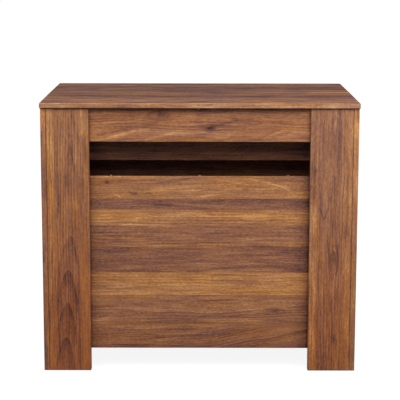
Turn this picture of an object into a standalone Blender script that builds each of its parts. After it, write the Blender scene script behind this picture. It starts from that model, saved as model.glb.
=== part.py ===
# Extendable console table, closed. Two standing units, each with half of the top, part along Y
# on a pair of telescopic runners. Four loose leaves stand on edge inside the rear unit and slide
# out sideways. Metres, +Z up. The origin is on the floor under the middle of the top, and the
# front faces -Y.

import math

import bmesh
import bpy
from mathutils import Matrix

# Top, in two halves that meet on the middle line
TOP_WIDTH = 0.900
TOP_DEPTH = 0.560
TABLE_HEIGHT = 0.780
TOP_THICKNESS = 0.015
TOP_FRONT_OVERHANG = 0.008
TOP_SIDE_OVERHANG = 0.002
TOP_CORNER_RADIUS = 0.004
TOP_CORNER_SEGMENTS = 4
TOP_EDGE_ROUND = 0.002  # of the band round the three outer edges
TOP_EDGE_SEGMENTS = 3
TOP_JOINT_CHAMFER = 0.0005

# Boards of the two units
BOARD_THICKNESS = 0.015
LEG_WIDTH = 0.1355  # the face of a leg, with the edge of the side panel beside it
LEG_THICKNESS = 0.022
FASCIA_HEIGHT = 0.096
FASCIA_SETBACK = 0.010  # behind the face of the legs
SLOT_HEIGHT = 0.0995  # between the fascia and the lower panel
PANEL_FLOOR_GAP = 0.063
FRONT_RAIL_HEIGHT = 0.1065
FRONT_RAIL_SETBACK = 0.135  # from the middle line
REAR_RAIL_HEIGHT = 0.127
REAR_RAIL_SETBACK = 0.004
EDGE_ROUND = 0.0012
EDGE_SEGMENTS = 2
SHARP_ANGLE = 40  # degrees, above which an edge is rounded or shaded sharp

# Clearances
SEAT_GAP = 0.0003  # between pieces that touch
RUNNING_GAP = 0.0004  # around a tongue in its groove
DRILL_GAP = 0.0006  # around a dowel or plug in its hole

# Telescopic runners: members side by side, each with a tongue in the groove of the next
RUNNER_STAGES = 4  # members between the one on the rear unit and the one on the front unit
RUNNER_DROP = 0.054  # from the underside of the top to the underside of a runner
RUNNER_BODY = 0.0105
RUNNER_SPACE = 0.0006  # between two members
RUNNER_LIP = 0.0025
RUNNER_TOP_GAP = 0.0012  # over the members that slide
RUNNER_END_GAP = 0.003
TONGUE_NECK_HEIGHT = 0.012
TONGUE_HEAD_HEIGHT = 0.022
TONGUE_HEAD = 0.003

# Cross bars that tie the left and the right member of a stage together
BAR_WIDTH = 0.025
BAR_THICKNESS = 0.003
BAR_SEAT_GAP = 0.0005
BAR_SPACING = 0.060
BAR_RAIL_GAP = 0.0025
METAL_ROUND = 0.0006

# Angle brackets under the top
BRACKET_FLANGE = 0.018
BRACKET_THICKNESS = 0.002
BRACKET_LENGTH = 0.040
BRACKET_RUNNER_GAP = 0.002

# Dowels between the halves of the top, and plugs in the edge of the front lower panel
DOWEL_SPACING = 0.252
DOWEL_RADIUS = 0.004
DOWEL_INSERT = 0.010
DOWEL_STICKOUT = 0.008
DOWEL_END_GAP = 0.002
PLUG_RADIUS = 0.003
PLUG_INSERT = 0.008
PLUG_STICKOUT = 0.001

# Loose leaves on edge, with their shelf and upper guide
LEAF_COUNT = 4
LEAF_DEPTH = 0.460  # front to back when laid, height when stored
LEAF_PITCH = 0.022
LEAF_SETBACK = 0.056  # from the middle line to the first leaf
LEAF_GAP = 0.001
SHELF_FLOOR_GAP = 0.108
SHELF_THICKNESS = 0.022
SHELF_GROOVE = 0.008
GUIDE_LAP = 0.005
GUIDE_WEB = 0.007
TRACK_RIB = 0.006  # outside the first and the last groove

# Floor glides
GLIDE_RADIUS = 0.007
GLIDE_THICKNESS = 0.002
GLIDE_INSET = 0.020
ROUND_SIDES = 16

# Colours as seen, sRGB
WALNUT = (150, 101, 73)
WALNUT_TOP = (139, 97, 78)
ALUMINIUM = (198, 200, 202)
ZINC_STEEL = (165, 167, 170)
BEECH = (205, 170, 125)
PALE_PLASTIC = (214, 204, 192)
DARK_PLASTIC = (38, 34, 32)

# Planes and lines worked out from the sizes above
halfWidth = TOP_WIDTH / 2
halfDepth = TOP_DEPTH / 2
topUnderside = TABLE_HEIGHT - TOP_THICKNESS
boardTop = topUnderside - SEAT_GAP
boardBottom = GLIDE_THICKNESS + SEAT_GAP
sideOuter = halfWidth - TOP_SIDE_OVERHANG
sideInner = sideOuter - BOARD_THICKNESS
legInner = sideOuter - LEG_WIDTH
legFace = halfDepth - TOP_FRONT_OVERHANG
legBack = legFace - LEG_THICKNESS
fasciaFace = legFace - FASCIA_SETBACK
fasciaBottom = boardTop - FASCIA_HEIGHT
panelTop = fasciaBottom - SLOT_HEIGHT
panelFace = legBack - SEAT_GAP
panelBack = panelFace - BOARD_THICKNESS
runnerBottom = topUnderside - RUNNER_DROP
runnerOuter = sideInner - SEAT_GAP - BRACKET_FLANGE - BRACKET_RUNNER_GAP
runnerPitch = RUNNER_BODY + RUNNER_SPACE
runnerLength = 2 * (legBack - RUNNER_END_GAP)
barTop = runnerBottom - BAR_SEAT_GAP
railTop = barTop - BAR_THICKNESS - BAR_RAIL_GAP
rearRailBack = REAR_RAIL_SETBACK + BOARD_THICKNESS
leafBottom = SHELF_FLOOR_GAP + SHELF_THICKNESS - SHELF_GROOVE + SEAT_GAP
leafTop = leafBottom + LEAF_DEPTH
dowelRoof = leafTop + DOWEL_STICKOUT + DOWEL_END_GAP
leafFronts = [LEAF_SETBACK + LEAF_PITCH * i for i in range(LEAF_COUNT)]
bayFront = leafFronts[0] - LEAF_GAP
bayBack = leafFronts[-1] + TOP_THICKNESS + LEAF_GAP
dowelPlaces = {"left": -DOWEL_SPACING, "middle": 0.0, "right": DOWEL_SPACING}
sides = {"left": -1, "right": 1}
units = {"front": -1, "rear": 1}
railSetbacks = {"front": FRONT_RAIL_SETBACK, "rear": REAR_RAIL_SETBACK}
railHeights = {"front": FRONT_RAIL_HEIGHT, "rear": REAR_RAIL_HEIGHT}


def clear_scene():
    for old in list(bpy.data.objects):
        bpy.data.objects.remove(old)


def new_collection(name):
    made = bpy.data.collections.new(name)
    bpy.context.scene.collection.children.link(made)
    return made


def linear(channel):
    value = channel / 255
    return value / 12.92 if value <= 0.04045 else ((value + 0.055) / 1.055) ** 2.4


def finish(name, colour, roughness, metallic=0.0):
    made = bpy.data.materials.new(name)
    made.use_nodes = True
    shader = made.node_tree.nodes["Principled BSDF"]
    shader.inputs["Base Color"].default_value = (*map(linear, colour), 1.0)
    shader.inputs["Roughness"].default_value = roughness
    shader.inputs["Metallic"].default_value = metallic
    return made


def new_body(name):
    # An empty that carries the pieces which move together
    empty = bpy.data.objects.new(name, None)
    tableParts.objects.link(empty)
    return empty


def add_piece(name, data, body, material):
    piece = bpy.data.objects.new(name, data)
    piece.data.materials.append(material)
    piece.parent = body
    tableParts.objects.link(piece)
    return piece


def beyond(side, near, far):
    # A stretch from near to far on one side of the middle, lowest end first
    return sorted((side * near, side * far))


def box_mesh(name, size):
    shape = bmesh.new()
    bmesh.ops.create_cube(shape, size=1.0)
    bmesh.ops.scale(shape, vec=size, verts=shape.verts)
    mesh = bpy.data.meshes.new(name)
    shape.to_mesh(mesh)
    shape.free()
    return mesh


def round_edges(piece, radius, segments):
    bevel = piece.modifiers.new("rounded_edges", "BEVEL")
    bevel.width = radius
    bevel.segments = segments
    bevel.limit_method = "ANGLE"
    bevel.angle_limit = math.radians(SHARP_ANGLE)


def board(name, x, y, z, body, material, radius=EDGE_ROUND, segments=EDGE_SEGMENTS):
    ends = (x, y, z)
    piece = add_piece(name, box_mesh(name, [high - low for low, high in ends]), body, material)
    piece.location = [(low + high) / 2 for low, high in ends]
    round_edges(piece, radius, segments)
    return piece


def extrusion(name, outline, length, turn, place, body, material):
    # A flat outline drawn out evenly to both sides of its place
    curve = bpy.data.curves.new(name, "CURVE")
    curve.dimensions = "2D"
    curve.fill_mode = "BOTH"
    curve.extrude = length / 2
    spline = curve.splines.new("POLY")
    spline.points.add(len(outline) - 1)
    spline.use_cyclic_u = True
    for point, (u, v) in zip(spline.points, outline):
        point.co = (u, v, 0, 1)
    piece = add_piece(name, curve, body, material)
    piece.rotation_euler = turn
    piece.location = place
    return piece


# Turns that lay an outline's first axis, second axis and length along X Z Y, or along Y Z X
ALONG_Y = (math.pi / 2, 0, 0)
ALONG_X = (math.pi / 2, 0, math.pi / 2)


def cylinder_mesh(name, radius, stretches, axis):
    # One cylinder for each stretch, given as its two end points along the axis
    turn = {"Y": Matrix.Rotation(math.pi / 2, 4, "X"), "Z": Matrix.Identity(4)}[axis]
    along = {"Y": 1, "Z": 2}[axis]
    shape = bmesh.new()
    for start, end in stretches:
        middle = [(a + b) / 2 for a, b in zip(start, end)]
        bmesh.ops.create_cone(
            shape,
            cap_ends=True,
            segments=ROUND_SIDES,
            radius1=radius,
            radius2=radius,
            depth=abs(end[along] - start[along]),
            matrix=Matrix.Translation(middle) @ turn,
        )
    mesh = bpy.data.meshes.new(name)
    shape.to_mesh(mesh)
    shape.free()
    return mesh


def peg(name, radius, start, end, axis, body, material):
    piece = add_piece(name, cylinder_mesh(name, radius, [(start, end)], axis), body, material)
    piece.data.shade_smooth()
    piece.data.set_sharp_from_angle(angle=math.radians(SHARP_ANGLE))
    return piece


def cut(piece, mesh, place=(0, 0, 0)):
    cutter = bpy.data.objects.new(mesh.name, mesh)
    cutter.location = place
    cutter.hide_render = True
    cutter.display_type = "WIRE"
    tableCutters.objects.link(cutter)
    boolean = piece.modifiers.new("cut", "BOOLEAN")
    boolean.object = cutter
    boolean.solver = "EXACT"


def drill(piece, radius, mouths, depth, outward, axis):
    # Blind holes: each mouth lies on the face, and outward is +1 or -1 along the axis
    along = {"Y": 1, "Z": 2}[axis]
    stretches = []
    for mouth in mouths:
        start = list(mouth)
        end = list(mouth)
        start[along] -= outward * depth
        end[along] += outward * depth
        stretches.append((start, end))
    cut(piece, cylinder_mesh(f"{piece.name}_holes", radius, stretches, axis))


def lies_at(edge, axis, place):
    # Whether both ends of an edge are at this place along the axis
    return all(abs(vert.co[axis] - place) < SEAT_GAP for vert in edge.verts)


def ease(shape, edges, radius, segments):
    bmesh.ops.bevel(
        shape,
        geom=edges,
        offset=radius,
        offset_type="OFFSET",
        segments=segments,
        profile=0.5,
        affect="EDGES",
    )


def half_top(unit, facing, body):
    # The outer corners and edges are rounded, and the two edges at the joint are only broken
    low, high = beyond(facing, SEAT_GAP, halfDepth)
    name = f"{unit}_top"
    outer = facing * (high - low) / 2
    faces = (TOP_THICKNESS / 2, -TOP_THICKNESS / 2)
    mesh = box_mesh(name, (TOP_WIDTH, high - low, TOP_THICKNESS))
    shape = bmesh.new()
    shape.from_mesh(mesh)
    flat = [edge for edge in shape.edges if any(lies_at(edge, 2, z) for z in faces)]
    ease(shape, [edge for edge in flat if lies_at(edge, 1, -outer)], TOP_JOINT_CHAMFER, 1)
    upright = [edge for edge in shape.edges if not any(lies_at(edge, 2, z) for z in faces)]
    ease(shape, [edge for edge in upright if lies_at(edge, 1, outer)], TOP_CORNER_RADIUS, TOP_CORNER_SEGMENTS)
    flat = [edge for edge in shape.edges if any(lies_at(edge, 2, z) for z in faces)]
    inner = facing * TOP_JOINT_CHAMFER - outer
    ease(shape, [edge for edge in flat if not lies_at(edge, 1, inner)], TOP_EDGE_ROUND, TOP_EDGE_SEGMENTS)
    shape.to_mesh(mesh)
    shape.free()
    top = add_piece(name, mesh, body, walnutTop)
    top.location = (0, (low + high) / 2, topUnderside + TOP_THICKNESS / 2)
    mouths = [(x, facing * SEAT_GAP, topUnderside + TOP_THICKNESS / 2) for x in dowelPlaces.values()]
    depth = {"front": DOWEL_INSERT, "rear": DOWEL_STICKOUT}[unit] + DOWEL_END_GAP
    drill(top, DOWEL_RADIUS + DRILL_GAP, mouths, depth, -facing, "Y")


def side_panels(unit, facing, body):
    made = {}
    for side, hand in sides.items():
        made[side] = board(
            f"{unit}_side_panel_{side}",
            beyond(hand, sideInner, sideOuter),
            beyond(facing, SEAT_GAP, legFace),
            (boardBottom, boardTop),
            body,
            walnut,
        )
    return made


def legs(unit, facing, body):
    for side, hand in sides.items():
        board(
            f"{unit}_leg_{side}",
            beyond(hand, legInner, sideInner - SEAT_GAP),
            beyond(facing, legBack, legFace),
            (boardBottom, boardTop),
            body,
            walnut,
        )


def cross_boards(unit, facing, body):
    reach = sideInner - SEAT_GAP
    between = legInner - SEAT_GAP
    board(
        f"{unit}_fascia",
        (-between, between),
        beyond(facing, fasciaFace - BOARD_THICKNESS, fasciaFace),
        (fasciaBottom, boardTop),
        body,
        walnut,
    )
    board(
        f"{unit}_cross_rail",
        (-reach, reach),
        beyond(facing, railSetbacks[unit], railSetbacks[unit] + BOARD_THICKNESS),
        (railTop - railHeights[unit], railTop),
        body,
        walnut,
    )
    return board(
        f"{unit}_lower_panel",
        (-reach, reach),
        beyond(facing, panelBack, panelFace),
        (PANEL_FLOOR_GAP, panelTop),
        body,
        walnut,
    )


def glides(unit, facing, body):
    # Two under each side panel, near its two ends
    places = {"outer": legFace - GLIDE_INSET, "inner": GLIDE_INSET}
    for side, hand in sides.items():
        for place, distance in places.items():
            x = hand * (sideOuter - BOARD_THICKNESS / 2)
            y = facing * distance
            name = f"{unit}_glide_{side}_{place}"
            peg(name, GLIDE_RADIUS, (x, y, 0), (x, y, GLIDE_THICKNESS), "Z", body, darkPlastic)


def brackets(unit, facing, body):
    # One on each side panel, half way along it, with its other flange under the top
    for side, hand in sides.items():
        outline = [
            (0, 0),
            (0, -BRACKET_FLANGE),
            (-hand * BRACKET_THICKNESS, -BRACKET_FLANGE),
            (-hand * BRACKET_THICKNESS, -BRACKET_THICKNESS),
            (-hand * BRACKET_FLANGE, -BRACKET_THICKNESS),
            (-hand * BRACKET_FLANGE, 0),
        ]
        place = (hand * (sideInner - SEAT_GAP), facing * legFace / 2, boardTop)
        extrusion(f"{unit}_bracket_{side}", outline, BRACKET_LENGTH, ALONG_Y, place, body, zincSteel)


def runner_outline(hand, top):
    # From the outer face inwards: a groove in the outer face, and a tongue on the inner face
    middle = RUNNER_DROP / 2
    neck = TONGUE_NECK_HEIGHT / 2
    head = TONGUE_HEAD_HEIGHT / 2
    grooveEnd = RUNNER_LIP + TONGUE_HEAD + 2 * RUNNING_GAP
    neckEnd = RUNNER_BODY + RUNNER_SPACE + RUNNER_LIP + RUNNING_GAP
    headEnd = neckEnd + TONGUE_HEAD
    groove = [
        (0, neck + RUNNING_GAP),
        (RUNNER_LIP, neck + RUNNING_GAP),
        (RUNNER_LIP, head + RUNNING_GAP),
        (grooveEnd, head + RUNNING_GAP),
    ]
    tongue = [(headEnd, head), (neckEnd, head), (neckEnd, neck), (RUNNER_BODY, neck)]
    upper = [(u, middle + v) for u, v in groove]
    lower = [(u, middle - v) for u, v in reversed(groove)]
    upperTongue = [(u, middle + v) for u, v in reversed(tongue)]
    lowerTongue = [(u, middle - v) for u, v in tongue]
    points = [(0, 0), (RUNNER_BODY, 0)]
    points += reversed(lowerTongue)
    points += reversed(upperTongue)
    points += [(RUNNER_BODY, top), (0, top)]
    points += upper
    points += lower
    return [(-hand * u, v) for u, v in points]


def runner_members(index, name, body):
    # The left and the right member with this index: 0 is on the rear unit, the last on the front
    ends = (0, RUNNER_STAGES + 1)
    top = RUNNER_DROP - (SEAT_GAP if index in ends else RUNNER_TOP_GAP)
    for side, hand in sides.items():
        place = (hand * (runnerOuter - index * runnerPitch), 0, runnerBottom)
        outline = runner_outline(hand, top)
        extrusion(f"{name}_{side}", outline, runnerLength, ALONG_Y, place, body, aluminium)


def cross_bar(index, body):
    # The bars lie in the order in which their stages move off, so that none passes another
    reach = runnerOuter - index * runnerPitch
    middle = ((RUNNER_STAGES + 1) / 2 - index) * BAR_SPACING
    board(
        f"stage_{index}_cross_bar",
        (-reach, reach),
        (middle - BAR_WIDTH / 2, middle + BAR_WIDTH / 2),
        (barTop - BAR_THICKNESS, barTop),
        body,
        zincSteel,
        METAL_ROUND,
        1,
    )


def leaf_tracks(body):
    # The shelf has a groove under each leaf, and the guide one over each leaf
    grooves = [(front - LEAF_GAP, front + TOP_THICKNESS + LEAF_GAP) for front in leafFronts]
    shelfTop = SHELF_FLOOR_GAP + SHELF_THICKNESS
    grooveFloor = shelfTop - SHELF_GROOVE
    guideBottom = leafTop - GUIDE_LAP
    shelf = [(panelBack - SEAT_GAP, shelfTop), (panelBack - SEAT_GAP, SHELF_FLOOR_GAP)]
    shelf += [(bayFront - TRACK_RIB, SHELF_FLOOR_GAP), (bayFront - TRACK_RIB, shelfTop)]
    guide = [(bayBack + TRACK_RIB, guideBottom), (bayBack + TRACK_RIB, dowelRoof + GUIDE_WEB)]
    guide += [(rearRailBack + SEAT_GAP, dowelRoof + GUIDE_WEB), (rearRailBack + SEAT_GAP, guideBottom)]
    for near, far in grooves:
        shelf += [(near, shelfTop), (near, grooveFloor), (far, grooveFloor), (far, shelfTop)]
        guide += [(near, guideBottom), (near, dowelRoof), (far, dowelRoof), (far, guideBottom)]
    length = 2 * (sideInner - SEAT_GAP)
    extrusion("leaf_shelf", shelf, length, ALONG_X, (0, 0, 0), body, walnut)
    extrusion("leaf_guide", guide, length, ALONG_X, (0, 0, 0), body, darkPlastic)


def leaf_windows(panels):
    # The leaves are as long as the top is wide, so their ends pass through the rear side panels
    height = dowelRoof - leafBottom + LEAF_GAP
    size = (2 * BOARD_THICKNESS, bayBack - bayFront, height)
    for side, hand in sides.items():
        x = hand * (sideInner + sideOuter) / 2
        place = (x, (bayFront + bayBack) / 2, dowelRoof - height / 2)
        cut(panels[side], box_mesh(f"leaf_window_{side}", size), place)


def leaf(index, front, body):
    # Dowel holes in both long edges, which stand up and down while the leaf is stored
    piece = board(
        f"leaf_{index}",
        (-halfWidth, halfWidth),
        (front, front + TOP_THICKNESS),
        (leafBottom, leafTop),
        body,
        walnutTop,
    )
    depth = DOWEL_INSERT + DOWEL_END_GAP
    for edge, outward in ((leafTop, 1), (leafBottom, -1)):
        mouths = [(x, front + TOP_THICKNESS / 2, edge) for x in dowelPlaces.values()]
        drill(piece, DOWEL_RADIUS + DRILL_GAP, mouths, depth, outward, "Z")


def top_dowels(body):
    z = topUnderside + TOP_THICKNESS / 2
    for place, x in dowelPlaces.items():
        start = (x, -DOWEL_INSERT, z)
        end = (x, DOWEL_STICKOUT, z)
        peg(f"top_dowel_{place}", DOWEL_RADIUS, start, end, "Y", body, beech)


def panel_plugs(panel, body):
    y = -(panelFace + panelBack) / 2
    for place, x in dowelPlaces.items():
        start = (x, y, panelTop - PLUG_INSERT)
        end = (x, y, panelTop + PLUG_STICKOUT)
        peg(f"panel_plug_{place}", PLUG_RADIUS, start, end, "Z", body, palePlastic)
    mouths = [(x, y, panelTop) for x in dowelPlaces.values()]
    drill(panel, PLUG_RADIUS + DRILL_GAP, mouths, PLUG_INSERT + DOWEL_END_GAP, 1, "Z")


clear_scene()
tableParts = new_collection("extendable_console_table")
tableCutters = new_collection("table_cutters")
walnut = finish("walnut_laminate", WALNUT, 0.45)
walnutTop = finish("walnut_top_laminate", WALNUT_TOP, 0.38)
aluminium = finish("runner_aluminium", ALUMINIUM, 0.35, 1.0)
zincSteel = finish("zinc_steel", ZINC_STEEL, 0.40, 1.0)
beech = finish("beech_dowel", BEECH, 0.60)
palePlastic = finish("pale_plastic", PALE_PLASTIC, 0.45)
darkPlastic = finish("dark_plastic", DARK_PLASTIC, 0.55)

for unitName, unitFacing in units.items():
    unitBody = new_body(f"{unitName}_unit")
    half_top(unitName, unitFacing, unitBody)
    unitSides = side_panels(unitName, unitFacing, unitBody)
    legs(unitName, unitFacing, unitBody)
    lowerPanel = cross_boards(unitName, unitFacing, unitBody)
    glides(unitName, unitFacing, unitBody)
    brackets(unitName, unitFacing, unitBody)
    runner_members({"rear": 0, "front": RUNNER_STAGES + 1}[unitName], f"{unitName}_runner", unitBody)
    if unitName == "front":
        top_dowels(unitBody)
        panel_plugs(lowerPanel, unitBody)
    else:
        leaf_tracks(unitBody)
        leaf_windows(unitSides)

for stage in range(1, RUNNER_STAGES + 1):
    stageBody = new_body(f"runner_stage_{stage}")
    runner_members(stage, f"stage_{stage}_runner", stageBody)
    cross_bar(stage, stageBody)

for number, leafFront in enumerate(leafFronts, 1):
    leaf(number, leafFront, new_body(f"stored_leaf_{number}"))
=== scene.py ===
import math

import bpy
from mathutils import Matrix, Vector


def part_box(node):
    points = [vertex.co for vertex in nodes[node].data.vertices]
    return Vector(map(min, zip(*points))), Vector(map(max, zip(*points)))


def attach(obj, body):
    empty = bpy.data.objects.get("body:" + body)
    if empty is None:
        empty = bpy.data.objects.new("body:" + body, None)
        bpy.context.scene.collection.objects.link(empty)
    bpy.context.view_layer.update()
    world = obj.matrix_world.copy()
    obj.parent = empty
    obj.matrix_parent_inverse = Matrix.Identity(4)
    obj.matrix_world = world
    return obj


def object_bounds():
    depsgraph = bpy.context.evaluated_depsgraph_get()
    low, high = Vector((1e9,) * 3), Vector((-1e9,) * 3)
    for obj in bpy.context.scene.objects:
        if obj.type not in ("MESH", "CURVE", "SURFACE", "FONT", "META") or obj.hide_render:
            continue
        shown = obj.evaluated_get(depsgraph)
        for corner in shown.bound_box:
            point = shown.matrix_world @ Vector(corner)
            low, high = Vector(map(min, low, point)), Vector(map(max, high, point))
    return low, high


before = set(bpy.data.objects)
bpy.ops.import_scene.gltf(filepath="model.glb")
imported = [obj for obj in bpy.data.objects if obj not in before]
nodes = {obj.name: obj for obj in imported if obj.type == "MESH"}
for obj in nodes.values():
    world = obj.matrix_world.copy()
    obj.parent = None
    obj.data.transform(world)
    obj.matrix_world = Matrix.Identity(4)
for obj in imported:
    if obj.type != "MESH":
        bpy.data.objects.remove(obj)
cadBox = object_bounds()
tableHeight = cadBox[1][2]
leafNumbers = range(1, 5)
stageNumbers = range(1, 5)      # of the runners, from the rear
print("frame loaded,", len(nodes), "pieces")


def shade(red, green, blue):
    # a screen colour, 0 to 255, in the linear values that shaders use
    def linear(channel):
        value = channel / 255
        return value / 12.92 if value <= 0.04045 else ((value + 0.055) / 1.055) ** 2.4
    return (linear(red), linear(green), linear(blue), 1.0)


def grey(level):
    return (level, level, level, 1.0)


class Wire:
    # one socket of a node tree, on which Python's operators add Math nodes
    def __init__(self, graph, socket):
        self.graph = graph
        self.socket = socket

    def __add__(self, other):
        return self.graph.maths("ADD", self, other)

    def __radd__(self, other):
        return self.graph.maths("ADD", other, self)

    def __sub__(self, other):
        return self.graph.maths("SUBTRACT", self, other)

    def __rsub__(self, other):
        return self.graph.maths("SUBTRACT", other, self)

    def __mul__(self, other):
        return self.graph.maths("MULTIPLY", self, other)

    def __rmul__(self, other):
        return self.graph.maths("MULTIPLY", other, self)

    def __truediv__(self, other):
        return self.graph.maths("DIVIDE", self, other)

    def __pow__(self, other):
        return self.graph.maths("POWER", self, other)

    def __abs__(self):
        return self.graph.maths("ABSOLUTE", self)


class Graph:
    # a node tree and the one method that adds nodes to it
    def __init__(self, tree):
        self.tree = tree

    def node(self, kind, settings=None, sockets=None, output=0):
        made = self.tree.nodes.new(kind)
        for key, value in (settings or {}).items():
            if key == "stops":
                self.setStops(made.color_ramp, value)
            else:
                setattr(made, key, value)
        for key, value in (sockets or {}).items():
            self.plug(value, made.inputs[key])
        return Wire(self, made.outputs[output])

    def plug(self, value, socket):
        if isinstance(value, Wire):
            self.tree.links.new(value.socket, socket)
        elif isinstance(value, list):
            for wire in value:
                self.tree.links.new(wire.socket, socket)
        else:
            socket.default_value = value

    def setStops(self, ramp, stops):
        while len(ramp.elements) < len(stops):
            ramp.elements.new(1.0)
        for element, (position, colour) in zip(ramp.elements, stops):
            element.position = position
            element.color = colour

    def maths(self, operation, *values):
        return self.node("ShaderNodeMath", {"operation": operation}, dict(enumerate(values)))

    def split(self, vector):
        first = self.node("ShaderNodeSeparateXYZ", {}, {0: vector})
        return [Wire(self, socket) for socket in first.socket.node.outputs]

    def vector(self, x, y, z):
        return self.node("ShaderNodeCombineXYZ", {}, {0: x, 1: y, 2: z})

    def rise(self, value, low, high):
        # 0 at low, 1 at high and smooth between
        settings = {"interpolation_type": "SMOOTHSTEP"}
        return self.node("ShaderNodeMapRange", settings, {0: value, 1: low, 2: high})

    def mix(self, amount, first, second, way="MIX"):
        settings = {"data_type": "RGBA", "blend_type": way, "clamp_factor": True}
        return self.node("ShaderNodeMix", settings, {0: amount, 6: first, 7: second}, 2)


class Surface(Graph):
    # one material, its Principled shader and the nodes that feed it
    inputs = {"colour": "Base Color", "roughness": "Roughness", "normal": "Normal"}

    def __init__(self, name, constants):
        self.material = bpy.data.materials.new(name)
        self.material.use_nodes = True
        super().__init__(self.material.node_tree)
        self.shader = self.tree.nodes["Principled BSDF"]
        for key, value in constants.items():
            self.shader.inputs[key].default_value = value

    def feed(self, **values):
        for key, value in values.items():
            self.plug(value, self.shader.inputs[self.inputs[key]])

    def place(self):
        return dict(zip("xyz", self.split(self.node("ShaderNodeTexCoord", output="Object"))))

    def facing(self):
        return dict(zip("xyz", self.split(self.node("ShaderNodeTexCoord", output="Normal"))))

    def noise(self, cells, detail, rough=0.5):
        # cells: a place already scaled, so that a cell is 1 long; the result lies about 0.5
        sockets = {"Vector": cells, "Scale": 1.0, "Detail": detail, "Roughness": rough}
        return self.node("ShaderNodeTexNoise", {}, sockets)

    def spots(self, place, perMetre, detail):
        # noise that is alike in all directions
        sockets = {"Vector": place, "Scale": perMetre, "Detail": detail}
        return self.node("ShaderNodeTexNoise", {}, sockets)

    def ramp(self, value, stops):
        return self.node("ShaderNodeValToRGB", {"stops": stops}, {0: value})

    def bump(self, height, strength, distance):
        sockets = {"Height": height, "Strength": strength, "Distance": distance}
        return self.node("ShaderNodeBump", {}, sockets)


walnutFinish = {
    "colours": [
        (0.00, shade(66, 42, 38)),
        (0.20, shade(104, 70, 60)),
        (0.40, shade(137, 91, 71)),
        (0.55, shade(158, 106, 75)),
        (0.72, shade(180, 124, 82)),
        (1.00, shade(216, 160, 108)),
    ],
    "middle": 0.5,                    # where plain wood lies on that scale
    "cool": shade(241, 246, 260),     # tints of the purplish and of the golden wood
    "warm": shade(251, 246, 220),
    "goldenFrom": (0.28, 0.72),
    "streaks": 0.70,                  # how far each kind of figure moves the tone
    "patches": 0.58,
    "lines": 0.78,
    "flecks": 0.66,
    "poreFrom": (0.62, 0.72),
    "poreShare": 0.8,
    "poreDark": 0.70,
    "specular": 0.0,
    "coat": 0.12,
    "coatRoughness": 0.45,
    "roughness": 0.50,
    "roughFlecks": 0.16,
    "roughPores": 0.12,
    "bumpFlecks": 0.5,
    "bumpStrength": 0.35,
    "bumpDepth": 0.00015,
}
walnutGrain = {      # noise: cells in a metre along and across the grain, detail and its roughness
    "wave": (2.0, 6.0, 1.0, 0.5),
    "ripple": (7.0, 32.0, 1.0, 0.5),
    "uneven": (3.0, 25.0, 2.0, 0.5),
    "strong": (1.2, 30.0, 1.0, 0.5),
    "streaks": (3.0, 42.0, 4.0, 0.55),
    "patches": (11.0, 45.0, 2.0, 0.5),
    "lines": (14.0, 210.0, 3.0, 0.6),
    "flecks": (110.0, 380.0, 2.0, 0.5),
    "pores": (60.0, 1500.0, 0.0, 0.5),
    "golden": (4.0, 55.0, 3.0, 0.5),
}
walnutStrips = {
    "plain": (-9.0, 0.0, 0.0),        # a board of one piece
    "joint": 0.0006,                  # half the width of the joint between two strips
    "step": 1.37,                     # metres of figure from one strip to the next
    "seedStep": 3.7,                  # and from one board to the next
    "goldPerMetre": 1.4,
}
walnutBends = {
    "wander": 0.03,                   # metres that the grain strays, in waves and in ripples
    "ripple": 0.011,
    "strokeWander": 0.006,            # and that a single streak strays
    "strokeRipple": 0.003,
    "strokeFade": (0.60, 0.36),       # from its middle to where it ends and to where it is full
    "askewOver": 0.02,
    "knotLength": 2.4,                # length of a knot over its width
    "knotBend": 1.1,
    "knotFall": 1.5,
}
walnutRings = {
    "perMetre": 120.0,
    "uneven": 2.2,
    "sharp": 2.5,
    "strongFrom": (0.40, 0.62),
    "mean": 0.07,
    "depth": 0.30,
}
walnutArches = {
    "ripple": 0.02,
    "lead": 9.0,                      # whole arches added, so that the count stays above nought
    "dark": (0.6, 0.0),               # share of the arch over which it darkens
    "lines": 5.0,                     # within one arch
    "lineSharp": 2.0,
    "lineDark": 0.3,
    "outline": (0.84, 1.0),
    "outlineLight": 0.5,
    "sideFrom": 0.8,                  # share of the half width that is at full strength
}
walnutEdges = {                       # limits on how far a face points along or through the board
    "end": (0.6, 0.7),
    "band": (0.8, 0.6),
    "bandCalm": 0.2,
    "upper": (0.0, 0.1),
    "arrisFrom": (0.10, 0.30),
    "arrisTo": (0.98, 0.88),
}


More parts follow.
